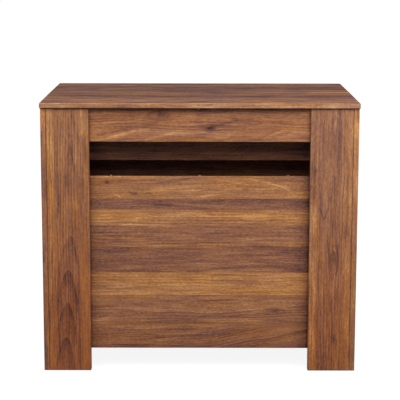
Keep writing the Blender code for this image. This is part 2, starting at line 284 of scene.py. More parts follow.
class Walnut(Surface):
    # one board: each step changes its tone, and the last one turns the tone into a colour
    # look: axes along, across and through the board, seed, tone, what stands out in its figure, and the
    # light and shade painted on it
    def __init__(self, name, look):
        super().__init__(name, {
            "Specular IOR Level": walnutFinish["specular"],
            "Coat Weight": walnutFinish["coat"],
            "Coat Roughness": walnutFinish["coatRoughness"],
        })
        self.look = look
        self.findGrain()
        self.layStrips()
        self.bendGrain()
        self.shadeEnds()
        self.drawStrokes()
        self.growRings()
        if "arches" in look:
            self.drawArches()
        self.addFigure()
        self.colourBoard()

    def findGrain(self):
        self.axes, self.normals = self.place(), self.facing()
        along, across, self.through = (self.axes[a] for a in self.look["axes"])
        lengthwise = abs(self.normals[self.look["axes"][0]])
        atEnd = self.rise(lengthwise, *walnutEdges["end"])     # the bands on the ends run the other way
        self.along = along + (across - along) * atEnd
        self.across = across + (self.through - across) * atEnd

    def grain(self, kind, across):
        alongCells, acrossCells, detail, rough = walnutGrain[kind]
        cells = self.vector(self.run * alongCells, across * acrossCells, self.depth * acrossCells)
        return self.noise(cells, detail, rough)

    def layStrips(self):
        # strips side by side, each with a tone, a hue and a stretch of figure of its own
        look, joint = self.look, walnutStrips["joint"]
        strips = look.get("strips", [walnutStrips["plain"]])
        _, lift, self.gold = strips[0]
        self.tone = look.get("tone", 0.0) + lift
        shift = look["seed"] * walnutStrips["seedStep"]
        # painted light: more golden the lower it lies, standing in for cooler light from above
        if "warmBelow" in look:
            self.gold = (look["warmBelow"] - self.along) * walnutStrips["goldPerMetre"] + self.gold
        for (place, lift, hue), (_, liftBefore, hueBefore) in zip(strips[1:], strips):
            past = self.rise(self.across, place - joint, place + joint)
            self.tone = past * (lift - liftBefore) + self.tone
            self.gold = past * (hue - hueBefore) + self.gold
            shift = past * walnutStrips["step"] + shift
        self.run = self.along + shift
        self.depth = self.through + look["seed"]

    def bendGrain(self):
        # the grain wanders, leans where the board is cut askew, and bends round the knots
        look, bends = self.look, walnutBends
        self.wave = self.grain("wave", self.across) - 0.5
        self.ripple = self.grain("ripple", self.across) - 0.5
        wander = self.wave * look.get("wander", bends["wander"])
        self.flow = self.across + wander + self.ripple * bends["ripple"]
        if "askew" in look:
            askewAlong, askewAcross, slope = look["askew"]
            beyond = self.maths("MAXIMUM", self.along - askewAlong, 0.0)
            below = self.rise(self.across, askewAcross, askewAcross - bends["askewOver"])
            self.flow = self.flow - beyond * below * slope
        for knotAlong, knotAcross, size, darkness in look.get("knots", []):
            reachAlong = (self.along - knotAlong) / (size * bends["knotLength"])
            reachAcross = (self.across - knotAcross) / size
            reach = reachAlong * reachAlong + reachAcross * reachAcross
            near = self.maths("EXPONENT", reach * -1.0)
            self.flow = self.flow - (self.across - knotAcross) * near * bends["knotBend"]
            self.tone = self.tone - near ** bends["knotFall"] * darkness

    def shadeEnds(self):
        # the ends that lie in shade: where, over what length and how much darker
        for place, reach, lift in self.look.get("shadedEnds", []):
            self.tone = self.tone + self.rise(abs(self.along - place), reach, 0.0) * lift

    def drawStrokes(self):
        # single streaks, and a few painted shadows and highlights: where each starts and ends, its half
        # width and how much lighter it is
        bends = walnutBends
        strokes = self.look.get("strokes", [])
        drift = self.across + self.wave * bends["strokeWander"] + self.ripple * bends["strokeRipple"]
        for (startAlong, startAcross), (endAlong, endAcross), width, lift in strokes:
            share = (self.along - startAlong) / (endAlong - startAlong)
            off = (drift - startAcross - share * (endAcross - startAcross)) / width
            fade = self.rise(abs(share - 0.5), *bends["strokeFade"])
            self.tone = self.tone + self.maths("EXPONENT", off * off * -1.0) * fade * lift

    def growRings(self):
        # lines of late wood along the board, strong in some places only
        rings = walnutRings
        count = self.flow * rings["perMetre"] + self.grain("uneven", self.flow) * rings["uneven"]
        late = self.maths("FRACT", count) ** rings["sharp"]
        strong = self.rise(self.grain("strong", self.flow), *rings["strongFrom"])
        self.tone = self.tone - (late * strong - rings["mean"]) * rings["depth"]

    def drawArches(self):
        # pointed arches, where the board was cut near the heart
        arch, arches = self.look["arches"], walnutArches
        offset = self.flow - arch["across"] - (self.along - arch["along"]) * arch["lean"]
        height = self.along + offset * offset / arch["spread"] + self.ripple * arches["ripple"]
        inside = self.maths("FRACT", (arch["along"] - height) / arch["spacing"] + arches["lead"])
        lines = self.maths("FRACT", inside * arches["lines"]) ** arches["lineSharp"]
        outline = self.rise(inside, *arches["outline"])
        dark = self.rise(inside, *arches["dark"]) + lines * arches["lineDark"]
        sides = self.rise(abs(offset), arch["half"], arch["half"] * arches["sideFrom"])
        within = sides * self.rise(self.along, *arch["fade"])
        self.tone = self.tone - (dark - outline * arches["outlineLight"]) * within * arch["depth"]

    def addFigure(self):
        wood, look = walnutFinish, self.look
        streaks, patches, lines, self.flecks = (
            self.grain(kind, self.flow) for kind in ("streaks", "patches", "lines", "flecks")
        )
        broad = (streaks - 0.5) * wood["streaks"] + (patches - 0.5) * wood["patches"]
        fine = (lines - 0.5) * wood["lines"] + (self.flecks - 0.5) * wood["flecks"]
        figure = broad * look.get("broad", 1.0) + fine * look.get("fine", 1.0)
        if "edgeLift" in look:
            figure = self.liftEdges(figure)
        self.tone = self.tone + figure

    def liftEdges(self, figure):
        # the edge bands have a tone of their own, on the lower front panel a painted shade; the rounded
        # corners get a painted highlight facing up and a painted shade facing down
        look, edges = self.look, walnutEdges
        normal = self.normals[look["axes"][2]]
        flat = abs(normal)
        band = self.rise(flat, *edges["band"])
        upper = self.rise(normal, *edges["upper"])
        arris = self.rise(flat, *edges["arrisFrom"]) * self.rise(flat, *edges["arrisTo"])
        # painted highlight on the rounded corners that face up, painted shade on those that face down
        under = look.get("underLift", 0.0)
        corner = upper * (look.get("arrisLift", 0.0) - under) + under
        self.tone = self.tone + band * look["edgeLift"] + arris * corner
        return figure * (1.0 - band * edges["bandCalm"])

    def colourBoard(self):
        wood, look = walnutFinish, self.look
        pores = self.rise(self.grain("pores", self.flow), *wood["poreFrom"])
        colour = self.ramp(self.tone + wood["middle"], wood["colours"])
        golden = self.rise(self.grain("golden", self.flow), *wood["goldenFrom"]) + self.gold
        wash = (*look.get("tint", (1.0, 1.0, 1.0)), 1.0)
        tints = [tuple(c * w for c, w in zip(wood[kind], wash)) for kind in ("cool", "warm")]
        tint = self.mix(golden, *tints)
        # painted light: the tint turns redder towards the floor, standing in for cooler light from above
        if "redBelow" in look:
            above, below = ((1.0, *pair, 1.0) for pair in look["redBelow"])
            low = self.rise(self.axes["z"], tableHeight, 0.0)
            tint = self.mix(1.0, tint, self.mix(low, above, below), "MULTIPLY")
        colour = self.mix(1.0, colour, tint, "MULTIPLY")
        dark = self.mix(1.0, colour, grey(wood["poreDark"]), "MULTIPLY")
        height = self.flecks * wood["bumpFlecks"] - pores
        rough = wood["roughness"] + (self.flecks - 0.5) * wood["roughFlecks"]
        self.feed(
            colour=self.mix(pores * wood["poreShare"], colour, dark),
            roughness=rough + pores * wood["roughPores"],
            normal=self.bump(height, wood["bumpStrength"], wood["bumpDepth"]),
        )


def walnut(name, look):
    return Walnut(name, look).material


def coat(node, material):
    # the frame's piece keeps its shape and takes the new finish
    slots = nodes[node].data.materials
    slots.clear()
    slots.append(material)


frontLowerPanel = {
    "axes": "xzy",
    "seed": 1.0,
    "wander": 0.020,
    "broad": 0.55,
    "fine": 1.1,
    # painted shade: the panel's edge faces, its top edge among them, much darker
    "edgeLift": -0.75,
    "redBelow": ((1.02, 1.0), (0.965, 0.99)),      # painted light: green and blue at the top and near the floor, redder below, standing in for cooler light from above
    "strips": [      # from where across the board, tone, hue from purplish to golden
        (0.000, 0.05, 0.0),
        (0.142, 0.14, -0.1),
        (0.221, 0.29, 0.2),
        (0.288, -0.04, -0.6),
        (0.363, 0.10, -0.1),
        (0.379, 0.07, -0.5),
        (0.426, 0.20, 0.1),
        (0.472, 0.00, -0.8),
        (0.504, 0.15, 0.1),
    ],
    "askew": (0.03, 0.140, 0.22),      # from where along, below where across, slope
    "shadedEnds": [
        (-0.312, 0.006, -0.25),
        (-0.312, 0.100, -0.04),
        (0.312, 0.007, -0.30),
        (0.312, 0.065, -0.12),
    ],
    "knots": [      # along, across, size and how dark
        (-0.185, 0.519, 0.0085, 0.26),
        (-0.145, 0.519, 0.0050, 0.26),
        (0.127, 0.530, 0.0045, 0.28),
        (-0.262, 0.551, 0.0050, 0.28),
        (0.212, 0.175, 0.0100, 0.22),
    ],
    "strokes": [      # start, end, half width, tone
        ((-0.153, 0.526), (0.010, 0.528), 0.0065, 0.16),
        ((-0.248, 0.519), (-0.224, 0.506), 0.0030, 0.22),
        ((-0.122, 0.548), (-0.029, 0.559), 0.0025, -0.12),
        ((0.143, 0.559), (0.197, 0.549), 0.0030, 0.22),
        ((0.191, 0.550), (0.253, 0.532), 0.0035, 0.22),
        ((0.248, 0.518), (0.296, 0.518), 0.0085, 0.10),
        ((0.002, 0.509), (0.064, 0.516), 0.0025, 0.20),
        ((-0.122, 0.474), (0.313, 0.469), 0.0025, -0.12),
        ((-0.233, 0.428), (-0.080, 0.428), 0.0030, 0.20),
        ((-0.004, 0.455), (0.144, 0.451), 0.0040, 0.18),
        ((0.132, 0.451), (0.308, 0.447), 0.0045, 0.18),
        ((0.019, 0.459), (0.073, 0.459), 0.0020, -0.16),
        ((-0.250, 0.379), (-0.222, 0.379), 0.0020, -0.18),
        ((-0.256, 0.366), (-0.043, 0.365), 0.0050, 0.16),
        ((0.002, 0.364), (0.150, 0.377), 0.0050, 0.16),
        ((0.144, 0.378), (0.281, 0.369), 0.0050, 0.14),
        ((0.153, 0.362), (0.252, 0.367), 0.0030, -0.16),
        ((-0.231, 0.300), (-0.111, 0.308), 0.0030, 0.12),
        ((-0.117, 0.308), (0.011, 0.315), 0.0030, 0.14),
        ((0.000, 0.296), (0.116, 0.305), 0.0025, -0.14),
        ((0.105, 0.305), (0.230, 0.306), 0.0025, -0.16),
        ((0.222, 0.305), (0.313, 0.294), 0.0030, -0.14),
        ((0.008, 0.291), (0.247, 0.295), 0.0060, 0.20),
        ((-0.271, 0.240), (-0.194, 0.242), 0.0020, -0.14),
        ((-0.191, 0.179), (-0.106, 0.182), 0.0075, 0.10),
        ((-0.309, 0.143), (-0.243, 0.160), 0.0040, 0.14),
        ((-0.003, 0.205), (0.094, 0.205), 0.0030, -0.14),
        ((-0.003, 0.157), (0.077, 0.169), 0.0030, -0.14),
        ((0.089, 0.158), (0.203, 0.154), 0.0030, -0.12),
        ((0.037, 0.140), (0.203, 0.152), 0.0055, 0.19),
        ((0.197, 0.152), (0.306, 0.152), 0.0040, 0.10),
        ((-0.197, 0.122), (-0.106, 0.125), 0.0035, 0.13),
        ((-0.117, 0.125), (0.020, 0.136), 0.0035, 0.13),
        ((-0.109, 0.118), (-0.008, 0.119), 0.0025, -0.18),
        ((-0.186, 0.087), (-0.043, 0.098), 0.0025, -0.14),
        ((-0.123, 0.088), (0.015, 0.095), 0.0030, 0.12),
        ((-0.600, 0.511), (0.600, 0.511), 0.0060, 0.08),
        ((-0.600, 0.494), (0.600, 0.494), 0.0050, -0.08),
        ((-0.450, 0.549), (0.020, 0.549), 0.0130, -0.07),
        ((-0.360, 0.452), (0.050, 0.452), 0.0090, 0.10),
        ((-0.400, 0.349), (0.020, 0.349), 0.0070, -0.08),
        ((-0.020, 0.332), (0.340, 0.332), 0.0090, 0.09),
        ((-0.600, 0.270), (0.600, 0.271), 0.0080, 0.08),
        ((0.000, 0.262), (0.400, 0.262), 0.0200, 0.05),
        ((-0.400, 0.207), (0.020, 0.207), 0.0090, -0.09),
        ((0.000, 0.130), (0.340, 0.130), 0.0080, 0.09),
        # darker along the bottom edge
        ((-0.600, 0.064), (0.600, 0.064), 0.0100, -0.13),
        ((0.130, 0.535), (0.360, 0.535), 0.0300, -0.06),
    ],
}
frontFascia = {
    "axes": "xzy",
    "seed": 2.0,
    "wander": 0.040,
    "broad": 0.65,
    "fine": 0.9,
    "tone": 0.055,
    "tint": (1.0, 1.0, 1.03),
    "knots": [(-0.117, 0.746, 0.0150, 0.28), (0.027, 0.708, 0.0080, 0.55)],
    "strokes": [
        ((-0.314, 0.722), (-0.229, 0.720), 0.0035, 0.14),
        ((-0.314, 0.673), (-0.252, 0.680), 0.0035, 0.21),
        ((-0.258, 0.680), (-0.184, 0.699), 0.0035, 0.24),
        ((-0.190, 0.698), (-0.139, 0.706), 0.0030, 0.18),
        ((-0.294, 0.686), (-0.196, 0.706), 0.0030, -0.14),
        ((-0.159, 0.673), (-0.071, 0.693), 0.0045, 0.21),
        ((-0.083, 0.691), (0.019, 0.696), 0.0045, 0.18),
        ((-0.086, 0.735), (-0.009, 0.738), 0.0095, 0.10),
        ((-0.165, 0.716), (-0.117, 0.716), 0.0100, -0.10),
        ((0.033, 0.714), (0.109, 0.732), 0.0040, -0.18),
        ((0.098, 0.731), (0.177, 0.727), 0.0040, -0.20),
        ((0.165, 0.728), (0.320, 0.718), 0.0040, -0.16),
        ((0.041, 0.687), (0.188, 0.693), 0.0115, 0.10),
        ((0.185, 0.682), (0.236, 0.702), 0.0035, 0.21),
        ((0.227, 0.702), (0.320, 0.694), 0.0035, 0.21),
        ((0.244, 0.680), (0.320, 0.680), 0.0050, -0.12),
        ((-0.600, 0.685), (0.600, 0.685), 0.0120, 0.06),
        # painted shadow under the top's overhang, along the fascia's upper edge
        ((-0.600, 0.757), (0.600, 0.757), 0.0090, -0.12),
        ((-0.020, 0.715), (0.170, 0.715), 0.0400, -0.07),
    ],
}
frontLegLeft = {
    "axes": "zxy",
    "seed": 3.0,
    "wander": 0.012,
    "broad": 0.6,
    "fine": 0.78,
    "tint": (1.04, 1.0, 0.88),
    "warmBelow": 0.40,      # painted light: height under which the wood turns golden, standing in for cooler light from above
    "redBelow": ((1.05, 1.05), (0.86, 0.95)),
    "strips": [(-0.500, 0.20, 0.1), (-0.411, 0.09, -0.15), (-0.345, 0.06, 0.1)],
    "arches": {
        "along": 0.301,           # the top of one arch
        "across": -0.372,
        "lean": 0.06,
        "spacing": 0.100,
        "spread": 0.0100,         # how wide they open
        "half": 0.032,            # half the width that they fill
        "fade": (0.46, 0.36),     # heights between which they appear
        "depth": 0.175,
    },
    "strokes": [
        ((0.753, -0.360), (0.680, -0.345), 0.0040, -0.16),
        ((0.660, -0.365), (0.584, -0.352), 0.0040, -0.18),
        ((0.578, -0.400), (0.456, -0.399), 0.0070, -0.12),
        ((0.765, -0.332), (0.686, -0.331), 0.0085, 0.10),
        ((0.398, -0.329), (-0.004, -0.327), 0.0120, 0.12),
        ((0.316, -0.401), (0.054, -0.404), 0.0040, -0.12),
        ((0.287, -0.348), (-0.004, -0.346), 0.0040, -0.14),
        ((0.511, -0.378), (0.366, -0.376), 0.0085, 0.08),
        ((0.800, -0.432), (-0.050, -0.432), 0.0015, -0.34),
        ((0.760, -0.422), (0.450, -0.422), 0.0080, 0.06),
        ((0.260, -0.422), (-0.150, -0.422), 0.0090, -0.08),
        ((0.520, -0.329), (0.280, -0.329), 0.0120, -0.10),
        ((0.300, -0.378), (-0.150, -0.378), 0.0300, -0.10),
        ((0.780, -0.335), (0.640, -0.335), 0.0030, 0.14),
        ((0.690, -0.324), (0.610, -0.324), 0.0035, -0.14),
        ((0.600, -0.331), (0.500, -0.331), 0.0025, -0.14),
    ],
}
frontLegRight = {
    "axes": "zxy",
    "seed": 4.0,
    "wander": 0.020,
    "broad": 0.7,
    "fine": 0.95,
    "warmBelow": 0.35,
    "redBelow": ((1.05, 1.08), (0.87, 0.90)),
    "strips": [(0.300, 0.17, 0.1), (0.334, 0.08, -0.1), (0.399, 0.17, 0.1)],
    "knots": [(0.331, 0.379, 0.0150, 0.17), (0.095, 0.388, 0.0060, 0.25), (0.587, 0.326, 0.0050, 0.28)],
    "strokes": [
        ((0.800, 0.391), (0.560, 0.392), 0.0065, -0.24),
        ((0.800, 0.323), (0.490, 0.326), 0.0085, -0.16),
        ((0.500, 0.321), (-0.001, 0.324), 0.0070, 0.12),
        ((0.482, 0.340), (0.447, 0.352), 0.0025, -0.24),
        ((0.482, 0.364), (0.447, 0.353), 0.0025, -0.24),
        ((0.392, 0.364), (0.316, 0.371), 0.0035, -0.20),
        ((0.380, 0.393), (0.287, 0.391), 0.0035, -0.20),
        ((0.235, 0.376), (0.089, 0.382), 0.0030, -0.20),
        ((0.392, 0.415), (0.118, 0.419), 0.0065, 0.10),
        ((0.800, 0.432), (-0.050, 0.432), 0.0015, -0.34),
        ((0.850, 0.365), (0.500, 0.365), 0.0280, -0.08),
        ((0.620, 0.366), (0.150, 0.366), 0.0280, 0.08),
    ],
}
topBoards = {
    "front_top": {
        "axes": "xyz",
        "seed": 5.0,
        # painted reflection: less red and more blue, standing in for the sheen of the top seen at a low
        # angle
        "tint": (0.93, 0.99, 1.23),
        "broad": 1.4,
        "fine": 1.2,
        "edgeLift": 0.10,
        # painted highlight on the upper rounded edges, painted shade on the lower ones
        "arrisLift": 0.16,
        "underLift": -0.70,
        "strips": [(-0.3, 0.04, 0.0), (-0.140, -0.10, -0.1), (-0.067, -0.04, 0.0)],
    },
    "rear_top": {
        "axes": "xyz",
        "seed": 6.0,
        # painted reflection: less red and more blue, standing in for the sheen of the top seen at a low
        # angle
        "tint": (0.94, 1.03, 1.32),
        "broad": 1.4,
        "fine": 1.2,
        "edgeLift": 0.10,
        # painted highlight on the upper rounded edges, painted shade on the lower ones
        "arrisLift": 0.16,
        "underLift": -0.70,
        "strips": [(0.0, -0.05, 0.0), (0.082, -0.12, -0.1), (0.1775, -0.03, 0.0)],
        # painted highlight along the rounded edge at the joint
        "strokes": [((0.320, 0.009), (0.480, 0.009), 0.0110, 0.50)],
    },
}
edgeStrokes = {      # what sets the front edges of the side panels apart
    "front_side_panel_left": [((0.660, -0.272), (0.100, -0.272), 0.0200, -0.16)],
    "front_side_panel_right": [((0.900, -0.272), (0.500, -0.272), 0.0200, 0.18)],
}
sidePanels = {
    "axes": "zyx",
    "tint": (1.0, 0.99, 1.06),
    "broad": 0.85,
    "edgeLift": 0.13,
    "strips": [
        (-0.4, 0.02, 0.0),
        (-0.190, -0.10, -0.2),
        (-0.105, 0.08, 0.1),
        (-0.03, -0.04, 0.0),
        (0.085, 0.10, 0.2),
        (0.160, -0.12, -0.2),
        (0.232, 0.03, 0.0),
    ],
}
otherBoards = {
    "rear_lower_panel": {
        "axes": "xzy",
        "strips": [
            (0.0, 0.05, 0.0),
            (0.150, -0.08, -0.2),
            (0.205, 0.14, 0.2),
            (0.290, 0.00, -0.1),
            (0.372, -0.10, -0.3),
            (0.440, 0.12, 0.1),
        ],
    },
    "rear_fascia": {"axes": "xzy", "wander": 0.05, "knots": [(0.140, 0.722, 0.012, 0.28)]},
    "rear_leg_left": {
        "axes": "zxy",
        "wander": 0.025,
        "strips": [(-0.5, -0.04, 0.0), (-0.385, 0.08, 0.1)],
    },
    "rear_leg_right": {"axes": "zxy", "strips": [(0.3, 0.08, 0.1), (0.35, -0.02, -0.1)]},
    "rear_cross_rail": {"axes": "xzy"},
    "front_cross_rail": {
        "axes": "xzy",
        "tint": (1.0, 1.0, 1.2),
        # painted shade: the rail's upper part darker, in the fascia's shadow
        "strips": [(0.5, 0.03, 0.0), (0.6225, -0.10, 0.0)],
        "shadedEnds": [(-0.312, 0.060, -0.16), (0.312, 0.060, -0.13)],
    },
    "leaf_shelf": {"axes": "xyz"},
}
leafBoard = {
    "axes": "xzy",
    "tint": (1.0, 1.0, 1.4),
    "edgeLift": 0.10,
    "strips": [
        (0.0, -0.06, 0.0),
        (0.205, 0.06, 0.1),
        (0.270, -0.12, -0.2),
        (0.355, 0.02, 0.0),
        (0.430, -0.08, -0.1),
        (0.500, 0.20, 0.1),
        (0.5345, -0.09, -0.1),
    ],
}

coat("front_lower_panel", walnut("walnut_front_panel", frontLowerPanel))
coat("front_fascia", walnut("walnut_front_fascia", frontFascia))
coat("front_leg_left", walnut("walnut_front_leg_left", frontLegLeft))
coat("front_leg_right", walnut("walnut_front_leg_right", frontLegRight))
for topName, topLook in topBoards.items():
    coat(topName, walnut("walnut_" + topName, topLook))
seed = 10.0
for unit in ("front", "rear"):
    for side in ("left", "right"):
        panelName = f"{unit}_side_panel_{side}"
        panelLook = {**sidePanels, "seed": seed, "strokes": edgeStrokes.get(panelName, [])}
        coat(panelName, walnut("walnut_" + panelName, panelLook))
        seed += 1.0
for boardName, boardLook in otherBoards.items():
    coat(boardName, walnut("walnut_" + boardName, {**boardLook, "seed": seed}))
    seed += 1.0
for number in leafNumbers:
    coat(f"leaf_{number}", walnut(f"walnut_leaf_{number}", {**leafBoard, "seed": seed}))
    seed += 1.0
print("walnut boards finished")


aluminiumFinish = {
    "bright": (0.60, 0.61, 0.62, 1.0),
    "dull": (0.50, 0.51, 0.53, 1.0),
    "lines": (1800.0, 6.0, 2.0),      # marks in a metre across and along the runner, and their detail
    "rubbed": (240.0, 1.5, 3.0),
    "cloud": (40.0, 9.0, 2.0),
    "ofLines": 0.5,                   # shares of these marks in the brightness
    "ofRubbed": 0.3,
    "ofCloud": 0.2,
    "contrast": (0.36, 0.64),
    "roughness": 0.34,
    "roughLines": 0.25,
    "roughCloud": 0.18,
    "bumpStrength": 0.25,
    "bumpDepth": 0.00004,
}
zincFinish = {
    "bright": (0.46, 0.47, 0.485, 1.0),
    "dull": (0.30, 0.31, 0.33, 1.0),
    "flakesPerMetre": 260.0,
    "marksPerMetre": 90.0,
    "marksDetail": 4.0,
    "ofFlakes": 0.6,
    "ofMarks": 0.4,
    "roughness": 0.42,
    "roughFlakes": 0.14,
    "roughMarks": 0.2,
    "bumpStrength": 0.15,
    "bumpDepth": 0.00004,
}
beechFinish = {
    "light": shade(214, 178, 130),
    "dark": shade(186, 142, 94),
    "fleck": shade(150, 104, 66),
    "grain": (40.0, 700.0, 3.0),      # cells in a metre along and across the grain, and detail
    "flecks": (260.0, 1900.0, 0.0),
    "grainFrom": (0.32, 0.68),
    "fleckFrom": (0.60, 0.68),
    "fleckShare": 0.7,
    "specular": 0.2,
    "roughness": 0.62,
    "roughGrain": 0.2,
    "bumpStrength": 0.3,
    "bumpDepth": 0.00008,
}
moulding = {
    "grainPerMetre": 2200.0,
    "grainDetail": 1.0,
    "flowPerMetre": 60.0,
    "flowDetail": 3.0,
    "flowFrom": (0.3, 0.7),
    "specular": 0.4,
    "roughGrain": 0.2,
    "roughFlow": 0.1,
    "bumpStrength": 0.3,
    "bumpDepth": 0.00005,
}
paleFinish = {"light": shade(198, 168, 146), "dark": shade(180, 150, 128), "roughness": 0.45}
darkFinish = {"light": shade(40, 37, 35), "dark": shade(30, 27, 25), "roughness": 0.52}


def extruded(name, look):
    # anodised aluminium with fine lines along the runner and a few rubbed ones
    s = Surface(name, {"Metallic": 1.0})
    place = s.place()

    def marks(kind):
        across, along, detail = look[kind]
        return s.noise(s.vector(place["x"] * across, place["y"] * along, place["z"] * across), detail)

    lines, rubbed, cloud = marks("lines"), marks("rubbed"), marks("cloud")
    bright = lines * look["ofLines"] + rubbed * look["ofRubbed"] + cloud * look["ofCloud"]
    rough = look["roughness"] + (lines - 0.5) * look["roughLines"]
    s.feed(
        colour=s.mix(s.rise(bright, *look["contrast"]), look["dull"], look["bright"]),
        roughness=rough + (cloud - 0.5) * look["roughCloud"],
        normal=s.bump(lines, look["bumpStrength"], look["bumpDepth"]),
    )
    return s.material


def spangled(name, look):
    # zinc plating: flat flakes of slightly different brightness, and handling marks
    s = Surface(name, {"Metallic": 1.0})
    place = s.node("ShaderNodeTexCoord", output="Object")
    sockets = {"Vector": place, "Scale": look["flakesPerMetre"]}
    flake = s.split(s.node("ShaderNodeTexVoronoi", {}, sockets, "Color"))[0]
    marks = s.spots(place, look["marksPerMetre"], look["marksDetail"])
    rough = look["roughness"] + (flake - 0.5) * look["roughFlakes"]
    s.feed(
        colour=s.mix(flake * look["ofFlakes"] + marks * look["ofMarks"], look["dull"], look["bright"]),
        roughness=rough + (marks - 0.5) * look["roughMarks"],
        normal=s.bump(marks, look["bumpStrength"], look["bumpDepth"]),
    )
    return s.material


def beech(name, axes, look):
    # pale close wood with short dark flecks along the grain
    s = Surface(name, {"Specular IOR Level": look["specular"]})
    place = s.place()
    along, across, through = (place[a] for a in axes)

    def cells(kind):
        perAlong, perAcross, detail = look[kind]
        return s.noise(s.vector(along * perAlong, across * perAcross, through * perAcross), detail)

    grain = cells("grain")
    fleck = s.rise(cells("flecks"), *look["fleckFrom"])
    wood = s.mix(s.rise(grain, *look["grainFrom"]), look["dark"], look["light"])
    s.feed(
        colour=s.mix(fleck * look["fleckShare"], wood, look["fleck"]),
        roughness=look["roughness"] + (grain - 0.5) * look["roughGrain"],
        normal=s.bump(grain - fleck, look["bumpStrength"], look["bumpDepth"]),
    )
    return s.material


def moulded(name, look):
    # plastic with a fine moulded grain and slight flow marks
    s = Surface(name, {"Specular IOR Level": moulding["specular"]})
    place = s.node("ShaderNodeTexCoord", output="Object")
    grain = s.spots(place, moulding["grainPerMetre"], moulding["grainDetail"])
    flow = s.spots(place, moulding["flowPerMetre"], moulding["flowDetail"])
    rough = look["roughness"] + (grain - 0.5) * moulding["roughGrain"]
    s.feed(
        colour=s.mix(s.rise(flow, *moulding["flowFrom"]), look["dark"], look["light"]),
        roughness=rough + (flow - 0.5) * moulding["roughFlow"],
        normal=s.bump(grain, moulding["bumpStrength"], moulding["bumpDepth"]),
    )
    return s.material


aluminium = extruded("anodised_aluminium", aluminiumFinish)
zinc = spangled("zinc_plating", zincFinish)
beechTop = beech("beech_along_y", "yxz", beechFinish)
beechLeaf = beech("beech_along_z", "zxy", beechFinish)
palePlastic = moulded("pale_moulding", paleFinish)
darkPlastic = moulded("dark_moulding", darkFinish)
coat("leaf_guide", darkPlastic)
for side in ("left", "right"):
    for unit in ("rear", "front"):
        coat(f"{unit}_runner_{side}", aluminium)
        coat(f"{unit}_bracket_{side}", zinc)
        for row in ("inner", "outer"):
            coat(f"{unit}_glide_{side}_{row}", darkPlastic)
    for stage in stageNumbers:
        coat(f"stage_{stage}_runner_{side}", aluminium)
for stage in stageNumbers:
    coat(f"stage_{stage}_cross_bar", zinc)
for place in ("left", "middle", "right"):
    coat(f"top_dowel_{place}", beechTop)
    coat(f"panel_plug_{place}", palePlastic)
print("metal, beech and plastic finished")


class Recipe(Graph):
    # a Geometry Nodes tree with named sizes, run on points that each have a direction
    def __init__(self, name, sizes):
        super().__init__(bpy.data.node_groups.new(name, "GeometryNodeTree"))
        face = self.tree.interface
        face.new_socket("Points", in_out="INPUT", socket_type="NodeSocketGeometry")
        self.keys = {}
        for label in sizes:
            socket = face.new_socket(label, in_out="INPUT", socket_type="NodeSocketFloat")
            self.keys[label] = socket.identifier
        finish = face.new_socket("Finish", in_out="INPUT", socket_type="NodeSocketMaterial")
        self.keys["Finish"] = finish.identifier
        face.new_socket("Mesh", in_out="OUTPUT", socket_type="NodeSocketGeometry")
        entry = self.tree.nodes.new("NodeGroupInput")
        self.points = Wire(self, entry.outputs["Points"])
        self.finish = Wire(self, entry.outputs["Finish"])
        self.sizes = {label: Wire(self, entry.outputs[label]) for label in sizes}
        self.exit = self.tree.nodes.new("NodeGroupOutput")

    def box(self, width, depth, height):
        return self.node("GeometryNodeMeshCube", {}, {"Size": self.vector(width, depth, height)})

    def join(self, operation, sockets):
        settings = {"operation": operation, "solver": "EXACT"}
        return self.node("GeometryNodeMeshBoolean", settings, sockets)

    def position(self):
        return self.split(self.node("GeometryNodeInputPosition"))

    def move(self, shape, x, y, z):
        sockets = {"Geometry": shape, "Position": self.vector(x, y, z)}
        return self.node("GeometryNodeSetPosition", {}, sockets)

    def repeat(self, shape, turnSeed=None):
        # the shape on every point, along the point's direction, and turned by chance where a seed is given
        kind = {"data_type": "FLOAT_VECTOR"}
        facing = self.node("GeometryNodeInputNamedAttribute", kind, {"Name": "facing"})
        turn = self.node("FunctionNodeAlignRotationToVector", {"axis": "Z"}, {"Vector": facing})
        if turnSeed is not None:
            limits = {2: 0.0, 3: math.pi, "Seed": turnSeed}
            angle = self.node("FunctionNodeRandomValue", {"data_type": "FLOAT"}, limits, 1)
            sockets = {0: turn, 1: self.vector(0.0, 0.0, angle)}
            turn = self.node("FunctionNodeRotateRotation", {"rotation_space": "LOCAL"}, sockets)
        sockets = {"Points": self.points, "Instance": shape, "Rotation": turn}
        placed = self.node("GeometryNodeInstanceOnPoints", {}, sockets)
        whole = self.node("GeometryNodeRealizeInstances", {}, {0: placed})
        done = self.node("GeometryNodeSetMaterial", {}, {"Geometry": whole, "Material": self.finish})
        self.plug(done, self.exit.inputs[0])

    def make(self, name, places, values, finish):
        # places: points and directions; the result is a plain mesh at the origin
        dots = bpy.data.meshes.new(name + "_points")
        dots.from_pydata([place for place, _ in places], [], [])
        facing = dots.attributes.new("facing", "FLOAT_VECTOR", "POINT")
        for item, (_, direction) in zip(facing.data, places):
            item.vector = direction
        source = bpy.data.objects.new(name + "_points", dots)
        bpy.context.scene.collection.objects.link(source)
        modifier = source.modifiers.new("recipe", "NODES")
        modifier.node_group = self.tree
        for label, value in values.items():
            modifier[self.keys[label]] = value
        modifier[self.keys["Finish"]] = finish
        bpy.context.view_layer.update()
        ready = source.evaluated_get(bpy.context.evaluated_depsgraph_get())
        mesh = bpy.data.meshes.new_from_object(ready)
        mesh.name = name
        bpy.data.objects.remove(source)
        piece = bpy.data.objects.new(name, mesh)
        bpy.context.scene.collection.objects.link(piece)
        return piece


discShape = {"shoulder": 0.82, "sides": 24, "rings": 3}      # the shoulder as a share of the radius
crossShape = {"arm": 1.15, "thick": 0.26, "turnSeed": 4}     # arm and thickness as shares of the radius
dowelShape = {"sides": 60, "rings": 4, "endFrom": 0.4, "ringFrom": 0.1}


